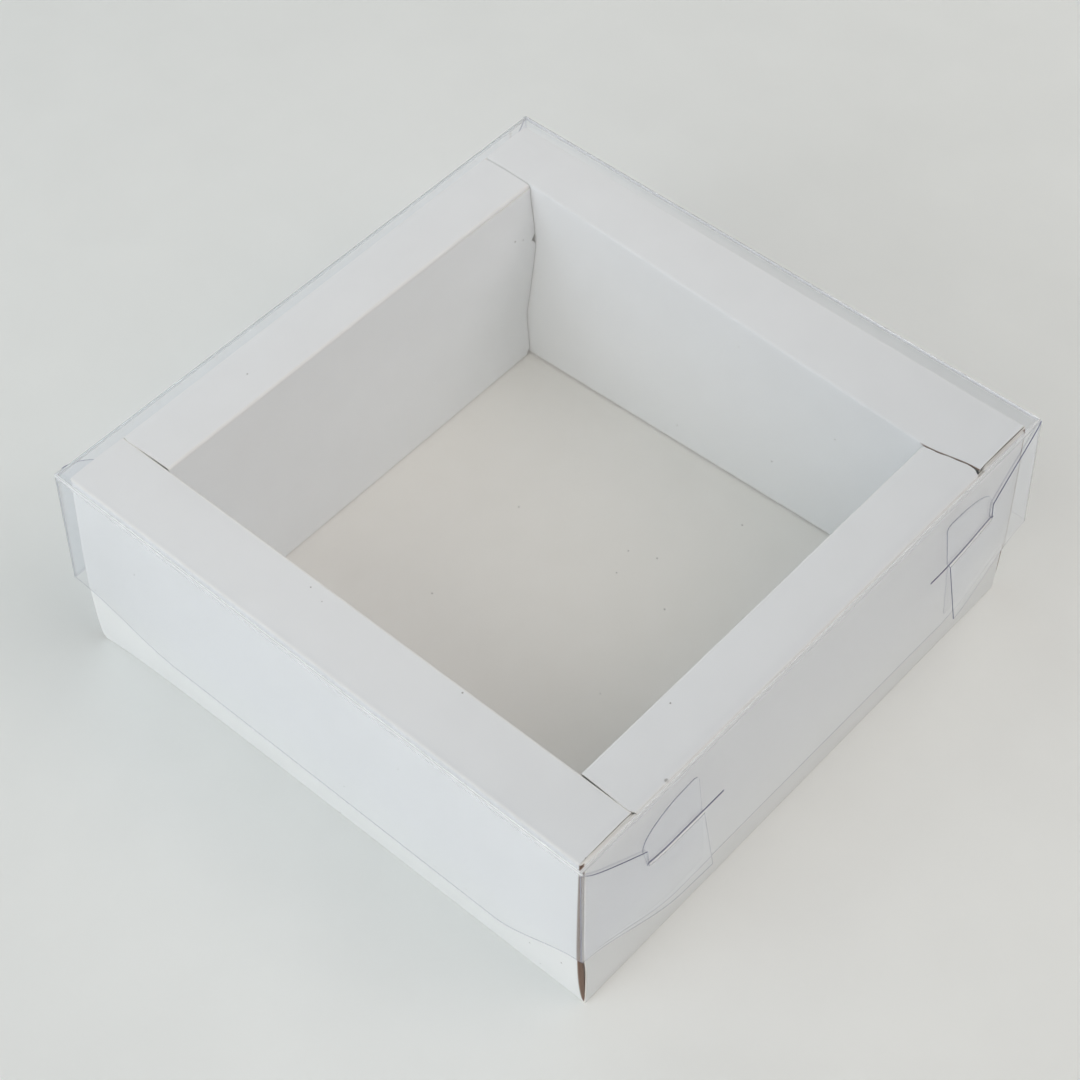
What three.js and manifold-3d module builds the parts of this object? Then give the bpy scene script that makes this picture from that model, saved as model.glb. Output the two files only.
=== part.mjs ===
// Square gift box: a tray folded from one sheet of white coated board, with hollow frame walls,
// and a clear slip-on lid folded from one plastic sheet, held at its corners by slot locks.
// Millimetres, +Z up. The origin is the centre of the tray's underside.
//
// The end walls are the front left and the back right one. Their rims run the full side of the
// tray. The side walls are the front right and the back left one, with rims between the end rims.

import * as THREE from "three";
import { mergeVertices } from "three/addons/utils/BufferGeometryUtils.js";
import Module from "manifold-3d";

const wasm = await Module();
wasm.setup();

// Carton tray
const BOARD = 0.5; // thickness of the board
const TRAY_SIDE = 200;
const TRAY_HEIGHT = 76.5;
const END_RIM_WIDTH = 21.5;
const SIDE_RIM_WIDTH = 19.5;
const END_RIM_GAP = 0.7; // between the end of an end rim and the side wall beside it
const RAW_EDGE_SETBACK = 2; // a side wall's cut edge stops this far from the tray's corner
const BUTT_GAP = 0.3; // where one cut edge or fold meets the next panel
const TRAY_FLAP_LENGTH = 45; // glue-free flaps that turn the corners inside the side walls
const TRAY_FLAP_TAPER = 8; // how much a flap narrows at its free end, above and below

// Clear lid
const SHEET = 0.3; // thickness of the plastic sheet
const LAYER_GAP = 0.3; // between two layers of sheet, and wherever the lid's pieces meet
const LID_OVERSIZE = 5.8; // how much wider than the tray the lid's top is
const FRONT_RIGHT_GAP = 0.7; // the lid is pushed towards the back: its slack there is the rest
const FRONT_LEFT_GAP = 1.5;
const LID_SEAT = 0.3; // between the tray's rims and the lid's top panel
const SKIRT_DEPTH = 47.3;
const SKIRT_BOW = 5.3; // how far a skirt's lower edge stands out along its middle
const BOW_RUN = 38; // distance from a corner over which the bow builds up

// Slot lock at each corner, measured along the side skirt from its corner and down from the top
const LOCK_FLAP_LENGTH = 46.8;
const LOCK_FLAP_LIFT = 2.5; // how far a flap's free lower corner springs away from the skirt
const NOTCH_OFFSET = 23.5; // from the corner to the notch between flap and tab
const NOTCH_LENGTH = 7; // from the flap's shoulder down to the slot
const SLOT_DEPTH = 24.5;
const SLOT_SPARE = 8.7; // length of slot past the tab's end
const TAB_HEIGHT = 15;
const TAB_CORNER = 1.5; // radius of the tab's upper corner

const SKIRT_COLUMNS = 28; // facets along a skirt; its flaps and tabs share them, so layers nest
const SKIRT_ROWS = 4;
const CURVE_STEPS = 8;

const HALF = TRAY_SIDE / 2;
const RIM_BELOW = TRAY_HEIGHT - BOARD; // height of the rims' undersides
const LAYER = SHEET + LAYER_GAP;
const LID_HALF = (TRAY_SIDE + LID_OVERSIZE) / 2;
const LID_X = HALF + FRONT_RIGHT_GAP + SHEET + LAYER - LID_HALF;
const LID_Y = LID_HALF - (HALF + FRONT_LEFT_GAP + SHEET);
const LID_Z = TRAY_HEIGHT + LID_SEAT; // height of the lid panel's underside

const board = new THREE.MeshStandardMaterial({
  name: "white_coated_board",
  color: 0xe6e8e9,
  roughness: 0.55,
  metalness: 0,
});
const clearSheet = new THREE.MeshStandardMaterial({
  name: "clear_sheet",
  color: 0xdde4ee,
  roughness: 0.08,
  metalness: 0,
  transparent: true,
  opacity: 0.3,
});

// Add one named piece to a group.
function piece(group, name, geometry, material) {
  const mesh = new THREE.Mesh(geometry, material.clone());
  mesh.name = name;
  group.add(mesh);
}

// A wall stands at the front of its own group, facing -Y, and the group is turned to its side.
function wallGroup(parent, quarterTurns) {
  const group = new THREE.Group();
  group.rotation.z = quarterTurns * Math.PI / 2;
  parent.add(group);
  return group;
}

// A flat rectangular panel between two corners.
function slab([x0, y0, z0], [x1, y1, z1]) {
  const geometry = new THREE.BoxGeometry(x1 - x0, y1 - y0, z1 - z0);
  geometry.translate((x0 + x1) / 2, (y0 + y1) / 2, (z0 + z1) / 2);
  return geometry;
}

// A panel cut to an outline in its wall's plane (x along the wall, z up), from y front to y back.
function cutPanel(shape, front, back) {
  const geometry = new THREE.ExtrudeGeometry(shape, {
    depth: back - front,
    bevelEnabled: false,
    curveSegments: CURVE_STEPS,
  });
  geometry.rotateX(Math.PI / 2);
  geometry.translate(0, back, 0);
  return geometry;
}

function outline(points) {
  return new THREE.Shape(points.map(([x, z]) => new THREE.Vector2(x, z)));
}

function toSolid(geometry) {
  const bare = geometry.clone();
  bare.deleteAttribute("normal");
  bare.deleteAttribute("uv");
  const merged = mergeVertices(bare);
  return new wasm.Manifold(new wasm.Mesh({
    numProp: 3,
    vertProperties: new Float32Array(merged.attributes.position.array),
    triVerts: new Uint32Array(merged.index.array),
  }));
}

function toGeometry(solid) {
  const mesh = solid.getMesh();
  const geometry = new THREE.BufferGeometry();
  geometry.setAttribute("position", new THREE.BufferAttribute(mesh.vertProperties, 3));
  geometry.setIndex(new THREE.BufferAttribute(mesh.triVerts, 1));
  geometry.computeVertexNormals();
  return geometry;
}

// End wall: outer panel, full-length rim, and inner panel that comes down past the side rims.
function endWall(tray, side, quarterTurns) {
  const group = wallGroup(tray, quarterTurns);
  const outerHalf = HALF - BOARD;
  const rimHalf = HALF - BOARD - END_RIM_GAP;
  const innerHalf = HALF - 2 * BOARD - BUTT_GAP;
  const rimEdge = -HALF + END_RIM_WIDTH;
  const outer = slab([-outerHalf, -HALF, 0], [outerHalf, -HALF + BOARD, RIM_BELOW]);
  const rim = slab([-rimHalf, -HALF, RIM_BELOW], [rimHalf, rimEdge, TRAY_HEIGHT]);
  const inner = slab([-innerHalf, rimEdge - BOARD, BOARD], [innerHalf, rimEdge, RIM_BELOW]);
  piece(group, `tray_outer_wall_${side}`, outer, board);
  piece(group, `tray_rim_${side}`, rim, board);
  piece(group, `tray_inner_wall_${side}`, inner, board);
}

// Outer panel of a side wall: under its rim in the middle, with a bare top edge near both corners.
function sideOuterPanel() {
  const end = HALF - RAW_EDGE_SETBACK;
  const step = HALF - END_RIM_WIDTH;
  return cutPanel(outline([
    [-end, 0],
    [end, 0],
    [end, TRAY_HEIGHT],
    [step, TRAY_HEIGHT],
    [step, RIM_BELOW],
    [-step, RIM_BELOW],
    [-step, TRAY_HEIGHT],
    [-end, TRAY_HEIGHT],
  ]), -HALF, -HALF + BOARD);
}

// Flap of an end wall, turned round the corner and tucked behind the side wall's outer panel.
// end is -1 or 1: the left or the right end of the side wall, seen from outside.
function trayFlap(end) {
  const root = end * (HALF - BOARD);
  const tip = end * (HALF - TRAY_FLAP_LENGTH);
  const top = RIM_BELOW - BUTT_GAP;
  return cutPanel(outline([
    [root, BOARD],
    [tip, BOARD + TRAY_FLAP_TAPER],
    [tip, top - TRAY_FLAP_TAPER],
    [root, top],
  ]), -HALF + BOARD, -HALF + 2 * BOARD);
}

// Side wall: outer panel, rim between the end rims, inner panel that hangs from the rim's crease,
// and the end walls' flaps behind it at its left and right corner.
function sideWall(tray, side, quarterTurns, leftCorner, rightCorner) {
  const group = wallGroup(tray, quarterTurns);
  const rimHalf = HALF - END_RIM_WIDTH - BUTT_GAP;
  const rimEdge = -HALF + SIDE_RIM_WIDTH;
  const innerTop = RIM_BELOW - BUTT_GAP;
  const innerFoot = BOARD + BUTT_GAP;
  const rim = slab([-rimHalf, -HALF, RIM_BELOW], [rimHalf, rimEdge, TRAY_HEIGHT]);
  const inner = slab([-rimHalf, rimEdge - BOARD, innerFoot], [rimHalf, rimEdge, innerTop]);
  piece(group, `tray_outer_wall_${side}`, sideOuterPanel(), board);
  piece(group, `tray_rim_${side}`, rim, board);
  piece(group, `tray_inner_wall_${side}`, inner, board);
  piece(group, `tray_flap_${leftCorner}`, trayFlap(-1), board);
  piece(group, `tray_flap_${rightCorner}`, trayFlap(1), board);
}

// How far the lid's skirts stand out: nothing at a corner or the top, most along the lower edge.
function bow(x, depth) {
  const run = Math.min(1, Math.max(0, (LID_HALF - Math.abs(x)) / BOW_RUN));
  return SKIRT_BOW * run * run * (3 - 2 * run) * depth / SKIRT_DEPTH;
}

// A flap springs open below the slot that holds it, most at its free end.
function flapLift(x, depth) {
  const along = Math.min(1, (LID_HALF - Math.abs(x)) / LOCK_FLAP_LENGTH);
  const down = Math.max(0, (depth - SLOT_DEPTH) / (SKIRT_DEPTH - SLOT_DEPTH));
  return LOCK_FLAP_LIFT * along * down;
}

// A bowed sheet as long as the lid. Layer 0 is the outermost; with lastLayer it fills several.
function hangingSheet(layer, lastLayer, lift) {
  const front = -LID_HALF + layer * LAYER;
  const back = -LID_HALF + lastLayer * LAYER + SHEET;
  const geometry = new THREE.BoxGeometry(
    2 * LID_HALF, back - front, SKIRT_DEPTH, SKIRT_COLUMNS, 1, SKIRT_ROWS,
  );
  geometry.translate(0, (front + back) / 2, -SKIRT_DEPTH / 2);
  const position = geometry.attributes.position;
  for (let i = 0; i < position.count; i += 1) {
    const depth = -position.getZ(i);
    const out = bow(position.getX(i), depth) + lift(position.getX(i), depth);
    position.setY(i, position.getY(i) - out);
  }
  return geometry;
}

const noLift = () => 0;
const OUTSIDE_LID = -LID_HALF - SKIRT_BOW - LOCK_FLAP_LIFT - LAYER;
const INSIDE_LID = -LID_HALF + 3 * LAYER;

// A cutter through the side skirt's layers, from its outline.
function lidCutter(shape) {
  return toSolid(cutPanel(shape, OUTSIDE_LID, INSIDE_LID));
}

// A rectangle on a side skirt: from and to along the skirt from its corner, top and foot in depth.
function lidRectangle(end, from, to, top, foot) {
  const xFrom = end * (LID_HALF - from);
  const xTo = end * (LID_HALF - to);
  return outline([[xFrom, -foot], [xTo, -foot], [xTo, -top], [xFrom, -top]]);
}

// End skirt: it runs the lid's full side, and its flaps turn the corners outside the side skirts.
function endSkirt() {
  return hangingSheet(0, 0, noLift);
}

// Side skirt between the end skirts, with a slot near each end for a lock tab.
function sideSkirt() {
  const between = lidRectangle(1, LAYER, 2 * LID_HALF - LAYER, 0, SKIRT_DEPTH);
  let skirt = toSolid(hangingSheet(1, 1, noLift)).intersect(lidCutter(between));
  const slotTop = SLOT_DEPTH - SHEET / 2 - LAYER_GAP;
  const slotFoot = SLOT_DEPTH + SHEET / 2 + LAYER_GAP;
  for (const end of [-1, 1]) {
    const slot = lidRectangle(end, NOTCH_OFFSET, LOCK_FLAP_LENGTH + SLOT_SPARE, slotTop, slotFoot);
    skirt = skirt.subtract(lidCutter(slot));
  }
  return toGeometry(skirt);
}

// Flap of an end skirt, outside the side skirt. Its upper edge slants from the corner down to a
// shoulder, and past the notch it starts just under the tab.
function lockFlap(end) {
  const at = (along, depth) => [end * (LID_HALF - along), -depth];
  const tabFoot = SLOT_DEPTH + SHEET / 2 + LAYER_GAP;
  const shape = outline([
    at(LAYER, LAYER),
    at(NOTCH_OFFSET, SLOT_DEPTH - NOTCH_LENGTH),
    at(NOTCH_OFFSET, tabFoot),
    at(LOCK_FLAP_LENGTH, tabFoot),
    at(LOCK_FLAP_LENGTH, SKIRT_DEPTH),
    at(LAYER, SKIRT_DEPTH),
  ]);
  return toGeometry(toSolid(hangingSheet(0, 0, flapLift)).intersect(lidCutter(shape)));
}

// Lock tab: a leaf that stands up behind the side skirt, and its root, which comes in through the
// slot from the flap outside.
function lockTab(end) {
  const from = NOTCH_OFFSET + LAYER_GAP;
  const width = LOCK_FLAP_LENGTH - from;
  const top = SLOT_DEPTH - TAB_HEIGHT;
  const rootFoot = SLOT_DEPTH + SHEET / 2;
  const x = (along) => end * (LID_HALF - along);
  const leaf = new THREE.Shape();
  leaf.moveTo(x(from), -rootFoot);
  leaf.lineTo(x(from), -SLOT_DEPTH);
  leaf.bezierCurveTo(
    x(from), -(SLOT_DEPTH - 0.55 * TAB_HEIGHT),
    x(from + 0.3 * width), -top,
    x(LOCK_FLAP_LENGTH - TAB_CORNER), -top,
  );
  leaf.quadraticCurveTo(x(LOCK_FLAP_LENGTH), -top, x(LOCK_FLAP_LENGTH), -(top + TAB_CORNER));
  leaf.lineTo(x(LOCK_FLAP_LENGTH), -rootFoot);
  const root = lidRectangle(end, from, LOCK_FLAP_LENGTH, SLOT_DEPTH - SHEET / 2, rootFoot);
  const innerLayer = toSolid(hangingSheet(2, 2, noLift));
  const allLayers = toSolid(hangingSheet(0, 2, noLift));
  return toGeometry(innerLayer.intersect(lidCutter(leaf)).add(allLayers.intersect(lidCutter(root))));
}

// One side of the lid with its two corner locks.
function lockedSide(lid, side, quarterTurns, leftCorner, rightCorner) {
  const group = wallGroup(lid, quarterTurns);
  piece(group, `lid_skirt_${side}`, sideSkirt(), clearSheet);
  for (const [corner, end] of [[leftCorner, -1], [rightCorner, 1]]) {
    piece(group, `lid_flap_${corner}`, lockFlap(end), clearSheet);
    piece(group, `lid_tab_${corner}`, lockTab(end), clearSheet);
  }
}

const box = new THREE.Group();
box.name = "gift_box";

const tray = new THREE.Group();
box.add(tray);
const floorHalf = HALF - BOARD;
piece(tray, "tray_base", slab([-floorHalf, -floorHalf, 0], [floorHalf, floorHalf, BOARD]), board);
endWall(tray, "front_left", 0);
sideWall(tray, "front_right", 1, "near", "right");
endWall(tray, "back_right", 2);
sideWall(tray, "back_left", 3, "back", "left");

const lid = new THREE.Group();
lid.position.set(LID_X, LID_Y, LID_Z);
box.add(lid);
const topHalf = LID_HALF - LAYER;
piece(lid, "lid_top", slab([-topHalf, -LID_HALF, 0], [topHalf, LID_HALF, SHEET]), clearSheet);
piece(wallGroup(lid, 0), "lid_skirt_front_left", endSkirt(), clearSheet);
lockedSide(lid, "front_right", 1, "near", "right");
piece(wallGroup(lid, 2), "lid_skirt_back_right", endSkirt(), clearSheet);
lockedSide(lid, "back_left", 3, "back", "left");

export default box;
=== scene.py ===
"""Looks of the gift box: a white board tray with hollow folded walls under a clear folded lid.

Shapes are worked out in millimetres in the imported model's frame, +Z up, with -Y the front left
side and +X the front right side, and turned to metres where a mesh is made. A wall or skirt is
drawn as if it stood at the front left, facing -Y, and then turned to its own side.
"""

import bpy
import numpy as np
from mathutils import Matrix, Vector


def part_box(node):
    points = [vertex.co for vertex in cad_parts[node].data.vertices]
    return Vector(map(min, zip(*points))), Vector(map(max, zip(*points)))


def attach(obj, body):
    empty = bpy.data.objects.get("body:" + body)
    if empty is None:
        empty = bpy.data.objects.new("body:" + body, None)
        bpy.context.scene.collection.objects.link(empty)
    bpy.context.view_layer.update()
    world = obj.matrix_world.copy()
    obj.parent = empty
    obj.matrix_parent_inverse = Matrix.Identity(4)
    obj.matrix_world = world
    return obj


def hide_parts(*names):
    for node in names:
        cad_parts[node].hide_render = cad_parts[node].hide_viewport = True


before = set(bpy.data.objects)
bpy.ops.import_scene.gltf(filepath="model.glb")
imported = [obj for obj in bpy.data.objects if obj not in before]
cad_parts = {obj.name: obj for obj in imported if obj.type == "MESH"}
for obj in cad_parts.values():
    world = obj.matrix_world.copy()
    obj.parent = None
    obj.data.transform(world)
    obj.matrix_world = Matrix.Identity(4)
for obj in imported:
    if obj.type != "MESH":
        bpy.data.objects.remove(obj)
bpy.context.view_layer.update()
MM = 0.001


# Camera: the photographer's viewpoint over the near corner, found from the tray's corners in the
# photograph. The frame is square, and the box's middle lies a little below and right of its own.
CAMERA_AZIMUTH, CAMERA_ELEVATION, CAMERA_ROLL = np.radians([42.98, 51.62, -1.48])
CAMERA_RIGHT, CAMERA_UP, CAMERA_BACK = -4.29, 22.03, 804.37
CAMERA_LENS = 84.27
CAMERA_SENSOR = 36


def direction(azimuth, elevation):
    """The unit vector at an azimuth, which turns from -Y towards +X, and an elevation."""
    return np.array([np.sin(azimuth) * np.cos(elevation), -np.cos(azimuth) * np.cos(elevation),
                     np.sin(elevation)])


def camera_axes():
    """The camera's right, up and back directions: back points from the origin to the camera at
    its azimuth and elevation, right is level, and both right and up are turned by the roll."""
    back = direction(CAMERA_AZIMUTH, CAMERA_ELEVATION)
    level = np.array([np.cos(CAMERA_AZIMUTH), np.sin(CAMERA_AZIMUTH), 0])
    upright = np.cross(back, level)
    cos_r, sin_r = np.cos(CAMERA_ROLL), np.sin(CAMERA_ROLL)
    return cos_r * level + sin_r * upright, cos_r * upright - sin_r * level, back


right, up, back = camera_axes()
place = CAMERA_RIGHT * right + CAMERA_UP * up + CAMERA_BACK * back
camera = bpy.data.objects.new("camera", bpy.data.cameras.new("camera"))
camera.data.lens = CAMERA_LENS
camera.data.sensor_width = CAMERA_SENSOR
camera.data.clip_start, camera.data.clip_end = 0.05, 10
matrix = np.identity(4)
matrix[:3, 0], matrix[:3, 1], matrix[:3, 2], matrix[:3, 3] = right, up, back, place * MM
camera.matrix_world = Matrix(matrix.tolist())
bpy.context.scene.collection.objects.link(camera)
bpy.context.scene.camera = camera
bpy.context.scene.view_settings.view_transform = "Standard"


# Tray floor: the middle of the one die-cut sheet of board that the whole tray is folded from.
# It is half-millimetre folding boxboard, clay coated white on the outside. The walls fold up from
# creases all round it.
def span(node_name):
    """A CAD node's lowest and highest corner, in millimetres."""
    low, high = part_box(node_name)
    return np.array(low) / MM, np.array(high) / MM


def linear(hex_colour):
    """An sRGB hex colour as linear RGBA: each channel goes through the sRGB curve backwards."""
    value = np.array([int(hex_colour[i:i + 2], 16) for i in (1, 3, 5)]) / 255
    value = np.where(value <= 0.04045, value / 12.92, ((value + 0.055) / 1.055) ** 2.4)
    return (*value, 1.0)


def add_node(tree, kind, inputs=None, **settings):
    """Adds one shader node. inputs gives each of its sockets a value or another node's output."""
    made = tree.nodes.new("ShaderNode" + kind)
    for key, value in settings.items():
        setattr(made, key, value)
    for key, value in (inputs or {}).items():
        if isinstance(value, bpy.types.NodeSocket):
            tree.links.new(value, made.inputs[key])
        else:
            made.inputs[key].default_value = value
    return made


def new_material(name):
    """An empty node material with its output node."""
    material = bpy.data.materials.new(name)
    material.use_nodes = True
    material.node_tree.nodes.clear()
    output = material.node_tree.nodes.new("ShaderNodeOutputMaterial")
    return material, material.node_tree, output


def coated_board(name, pale, shade, roughness, crease_tone="#F7F6F3", crease_mix=0.6, marks=()):
    """Clay-coated folding boxboard: a smooth satin white. The eye sees cloudy formation some
    12 mm across, the coat's fine grain, rare dust specks, creases of another tone, which is a
    painted shade where that tone is dark, and a dark mark of a given radius at each given place."""
    cloud_size, grain_size, speck_spacing, speck_size = 12, 0.4, 3, 0.3
    clean_share, dust_strength, mark_strength = 0.975, 0.7, 0.6
    dirt = linear("#6A6660")
    material, tree, output = new_material(name)
    place = add_node(tree, "TexCoord").outputs["Object"]
    cloud = add_node(tree, "TexNoise", {"Vector": place, "Scale": 1 / (cloud_size * MM), "Detail": 3.0})
    grain = add_node(tree, "TexNoise", {"Vector": place, "Scale": 1 / (grain_size * MM), "Detail": 2.0})
    crease = add_node(tree, "Attribute", attribute_name="crease").outputs["Fac"]
    colour = add_node(tree, "Mix", {0: cloud.outputs["Fac"], 6: linear(shade), 7: linear(pale)},
                      data_type="RGBA")
    speck = add_node(tree, "TexVoronoi", {"Vector": place, "Scale": 1 / (speck_spacing * MM)})
    near = add_node(tree, "Math", {0: speck.outputs["Distance"], 1: speck_size / speck_spacing},
                    operation="LESS_THAN")
    rare = add_node(tree, "SeparateColor", {"Color": speck.outputs["Color"]})
    chosen = add_node(tree, "Math", {0: rare.outputs["Red"], 1: clean_share}, operation="GREATER_THAN")
    dust = add_node(tree, "Math", {0: near.outputs[0], 1: chosen.outputs[0]}, operation="MULTIPLY")
    dust = add_node(tree, "Math", {0: dust.outputs[0], 1: dust_strength}, operation="MULTIPLY")
    colour = add_node(tree, "Mix", {0: dust.outputs[0], 6: colour.outputs[2], 7: dirt},
                      data_type="RGBA")
    for centre, radius in marks:
        near = add_node(tree, "VectorMath", {0: place, 1: np.array(centre) * MM}, operation="DISTANCE")
        inside = add_node(tree, "MapRange", {
            "Value": near.outputs["Value"], "From Min": radius * MM, "From Max": radius * MM / 2,
            "To Max": mark_strength})
        colour = add_node(tree, "Mix", {0: inside.outputs[0], 6: colour.outputs[2], 7: dirt},
                          data_type="RGBA")
    # Creases take their own tone; a dark brown crease tone is painted shade.
    crease_share = add_node(tree, "Math", {0: crease, 1: crease_mix}, operation="MULTIPLY")
    colour = add_node(tree, "Mix", {0: crease_share.outputs[0], 6: colour.outputs[2], 7: linear(crease_tone)},
                      data_type="RGBA")
    rough = add_node(tree, "MapRange", {"Value": cloud.outputs["Fac"], "From Min": 0.3, "From Max": 0.7,
                                        "To Min": roughness - 0.05, "To Max": roughness + 0.05})
    height = add_node(tree, "Math", {0: grain.outputs["Fac"], 1: cloud.outputs["Fac"]}, operation="ADD")
    bump = add_node(tree, "Bump", {"Height": height.outputs[0], "Strength": 0.03, "Distance": 0.02 * MM})
    shader = add_node(tree, "BsdfPrincipled", {
        "Base Color": colour.outputs[2], "Roughness": rough.outputs[0], "IOR": 1.5,
        "Normal": bump.outputs["Normal"]})
    tree.links.new(shader.outputs[0], output.inputs["Surface"])
    return material


def board_edge():
    """Cut edge of the board: bare pulp, mottled between two creams, fibrous and matt."""
    fibre_size = 0.3
    material, tree, output = new_material("sheared boxboard edge")
    place = add_node(tree, "TexCoord").outputs["Object"]
    fibre = add_node(tree, "TexNoise", {"Vector": place, "Scale": 1 / (fibre_size * MM), "Detail": 3.0})
    colour = add_node(tree, "Mix", {0: fibre.outputs["Fac"], 6: linear("#E4E1DB"), 7: linear("#F4F2EE")},
                      data_type="RGBA")
    bump = add_node(tree, "Bump", {"Height": fibre.outputs["Fac"], "Strength": 0.5, "Distance": 0.05 * MM})
    shader = add_node(tree, "BsdfPrincipled", {
        "Base Color": colour.outputs[2], "Roughness": 0.85, "Normal": bump.outputs["Normal"]})
    tree.links.new(shader.outputs[0], output.inputs["Surface"])
    return material


SHARP_ANGLE = 50


def sheet_mesh(name, middle, thickness, kept=None, crease=None, joined=None):
    """Closed mesh of a thin sheet. middle is a grid of points on its middle surface, in mm. Each
    face of the sheet is the grid moved half the thickness along the surface normal, the cross
    product of the grid's two directions. kept says which cells of the grid are there, and strips
    close every border between a cell that is there and one that isn't. crease is a weight for
    each point, kept for the material. joined says over which columns the first row's border isn't
    a cut edge, because the sheet goes on there as another piece."""
    rows, columns = middle.shape[:2]
    along = np.gradient(middle, axis=1)
    down = np.gradient(middle, axis=0)
    normal = np.cross(along, down)
    normal /= np.linalg.norm(normal, axis=2, keepdims=True)
    points = np.concatenate([middle + normal * thickness / 2, middle - normal * thickness / 2])
    points = points.reshape(-1, 3) * MM
    front = np.arange(rows * columns).reshape(rows, columns)
    rear = front + rows * columns
    if kept is None:
        kept = np.ones((rows - 1, columns - 1), bool)
    corners = [front[:-1, :-1], front[:-1, 1:], front[1:, 1:], front[1:, :-1]]
    faces = [np.stack([corner[kept] for corner in corners], axis=1)]
    corners = [rear[:-1, :-1], rear[1:, :-1], rear[1:, 1:], rear[:-1, 1:]]
    faces.append(np.stack([corner[kept] for corner in corners], axis=1))
    padded = np.pad(kept, 1)
    level = padded[1:, 1:-1].astype(int) - padded[:-1, 1:-1]
    upright = padded[1:-1, 1:].astype(int) - padded[1:-1, :-1]
    for change, first, second, first_rear, second_rear in (
        (level == 1, front[:, 1:], front[:, :-1], rear[:, 1:], rear[:, :-1]),
        (level == -1, front[:, :-1], front[:, 1:], rear[:, :-1], rear[:, 1:]),
        (upright == 1, front[:-1, :], front[1:, :], rear[:-1, :], rear[1:, :]),
        (upright == -1, front[1:, :], front[:-1, :], rear[1:, :], rear[:-1, :]),
    ):
        strip = [first[change], second[change], second_rear[change], first_rear[change]]
        faces.append(np.stack(strip, axis=1))
    is_edge = np.repeat([0, 1], [len(faces[0]) * 2, sum(len(strip) for strip in faces[2:])])
    if joined is not None:
        row, column = np.nonzero(level == 1)
        first_strip = len(faces[0]) * 2
        is_cut = (row > 0) | ~np.broadcast_to(joined, columns - 1)[column]
        is_edge[first_strip:first_strip + len(row)] = is_cut
    faces = np.concatenate(faces)
    used, faces = np.unique(faces, return_inverse=True)
    faces = faces.reshape(-1, 4)
    mesh = bpy.data.meshes.new(name)
    mesh.from_pydata(points[used].tolist(), [], faces.tolist())
    mesh.polygons.foreach_set("material_index", is_edge.astype(np.int32))
    mesh.polygons.foreach_set("use_smooth", np.ones(len(faces), bool))
    mesh.set_sharp_from_angle(angle=np.radians(SHARP_ANGLE))
    if crease is not None:
        weight = np.tile(np.broadcast_to(crease, (rows, columns)).ravel(), 2)[used]
        attribute = mesh.attributes.new("crease", "FLOAT", "POINT")
        attribute.data.foreach_set("value", weight.astype(np.float32))
    mesh.update()
    return mesh


def dress(mesh, materials, body, nodes):
    """Puts a finished mesh in the scene with its materials, on its body, in place of CAD nodes."""
    piece = bpy.data.objects.new(mesh.name, mesh)
    bpy.context.scene.collection.objects.link(piece)
    for material in materials:
        mesh.materials.append(material)
    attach(piece, body)
    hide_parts(*nodes)


floor_low, floor_high = span("tray_base")
BOARD = floor_high[2] - floor_low[2]
FLOOR_LIP = 2.25
FLOOR_SAG = 0.15
FLOOR_CLEARANCE = 0.02

# The white coat is on the outside of the folded walls, and the floor shows the board's warmer
# back, with painted light that makes it paler than the walls. A small dark mark sits on the front
# right rim, given by its place and its radius. Creases beside some narrow gaps carry a dark brown
# painted shade.
RIM_MARK = ((99.2, -65.0, 76.4), 0.8)
outside_board = coated_board("clay-coated boxboard", "#F1F3F4", "#ECEEEF", 0.48, marks=[RIM_MARK])
# The floor's board is warmer as the board's back, and paler than the walls' as painted light.
floor_board_with_painted_light = coated_board("boxboard reverse with painted light", "#F7F5F0", "#F2F0EA", 0.6)
# A dark brown painted shade on chosen creases, where a narrow gap beside a corner lies in shadow.
board_with_painted_crease_shade = coated_board("boxboard with painted shade on a crease", "#F1F3F4", "#ECEEEF", 0.5, "#7A5C49", 1.0)
cut_edge = board_edge()


def floor_middle():
    """A flat square grid that sags as the product of one sine half wave across each side."""
    reach = floor_high[0] + BOARD / 2 - FLOOR_LIP
    line = np.linspace(-1, 1, 61)
    across, back_way = np.meshgrid(line, -line)
    sag = FLOOR_SAG * np.cos(across * np.pi / 2) * np.cos(back_way * np.pi / 2)
    height = BOARD / 2 + FLOOR_CLEARANCE + sag
    return np.stack([across * reach, back_way * reach, height], axis=2)


dress(sheet_mesh("board_floor", floor_middle(), BOARD), [floor_board_with_painted_light, cut_edge], "tray",
      ["tray_base"])


# End walls: front left and back right. Each is one long strip of board that folds up from the
# floor, over its rim and down inside, so its three panels are one piece with rounded creases.
# The panels are springy: they bow out, lean and twist a little, as the photograph shows.
CREASE_RADIUS = 0.55
CREASE_STEPS = 6
wall_low, wall_high = span("tray_outer_wall_front_left")
rim_high = span("tray_rim_front_left")[1]
INNER_END = span("tray_inner_wall_front_left")[1][0]
TRAY_HALF = -wall_low[1]
OUTER_Y = wall_low[1] + BOARD / 2
RIM_Z = rim_high[2] - BOARD / 2
END_INNER_Y = rim_high[1] - BOARD / 2
WALL_HEIGHT = rim_high[2]
INNER_FOOT = 1.1
CORNER_STRIP = 0.9
FLARE_RUN = 14
FOOT_FADE = 6
BELLY_RISE = 0.6


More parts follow.
